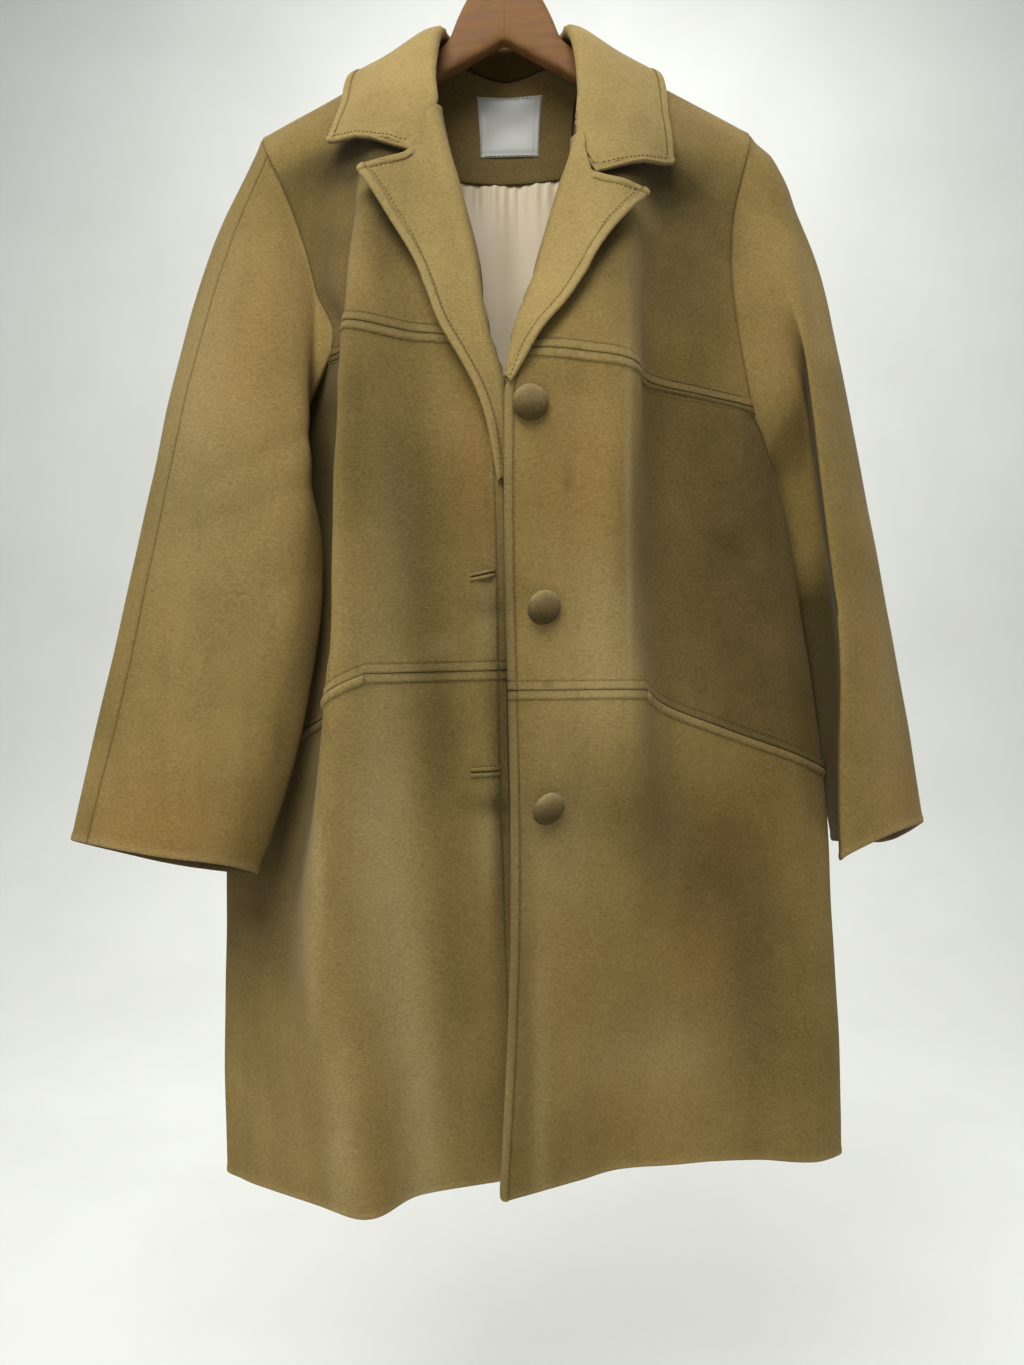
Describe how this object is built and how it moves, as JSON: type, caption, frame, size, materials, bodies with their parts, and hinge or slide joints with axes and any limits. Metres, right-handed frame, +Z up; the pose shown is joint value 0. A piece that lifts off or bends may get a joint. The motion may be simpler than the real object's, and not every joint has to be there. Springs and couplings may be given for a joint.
{
  "type": "suede coat on a wooden hanger",
  "caption": "Three-quarter-length suede coat with notched lapels, yoke and hip seams, slanted pocket welts and covered buttons, hanging flat on a wooden hanger with a wire hook.",
  "frame": {"origin": "inner top of the hanger's hook, where it hangs on a rod", "axes": "+Z up, the coat's front faces -Y, +X is the wearer's left (the viewer's right)"},
  "size_m": [0.6599, 0.1956, 1.0588],
  "materials": {
    "wood": "satin varnish",
    "steel": "polished wire",
    "suede": "brushed suede nap, mottled and worn",
    "facing": "dark suede",
    "lining": "satin weave",
    "label": "plain satin ribbon",
    "button_suede": "suede stretched over a dome"
  },
  "bodies": {
    "root": {"hanger_body": "wood", "hanger_hook": "steel", "back": "suede", "front_yoke_right": "suede", "front_yoke_left": "suede", "front_mid_right": "suede", "front_mid_left": "suede", "front_lower_right": "suede", "front_lower_left": "suede", "lapel_right": "suede", "lapel_left": "suede", "collar": "suede", "back_neck_facing": "facing", "lining_back": "lining", "label": "label", "sleeve_top_right": "suede", "sleeve_under_right": "suede", "sleeve_top_left": "suede", "sleeve_under_left": "suede", "pocket_welt_right": "suede", "pocket_welt_left": "suede", "button_top": "button_suede", "button_middle": "button_suede", "button_bottom": "button_suede", "buttonhole_middle": "suede", "buttonhole_bottom": "suede"}
  },
  "joints": []
}
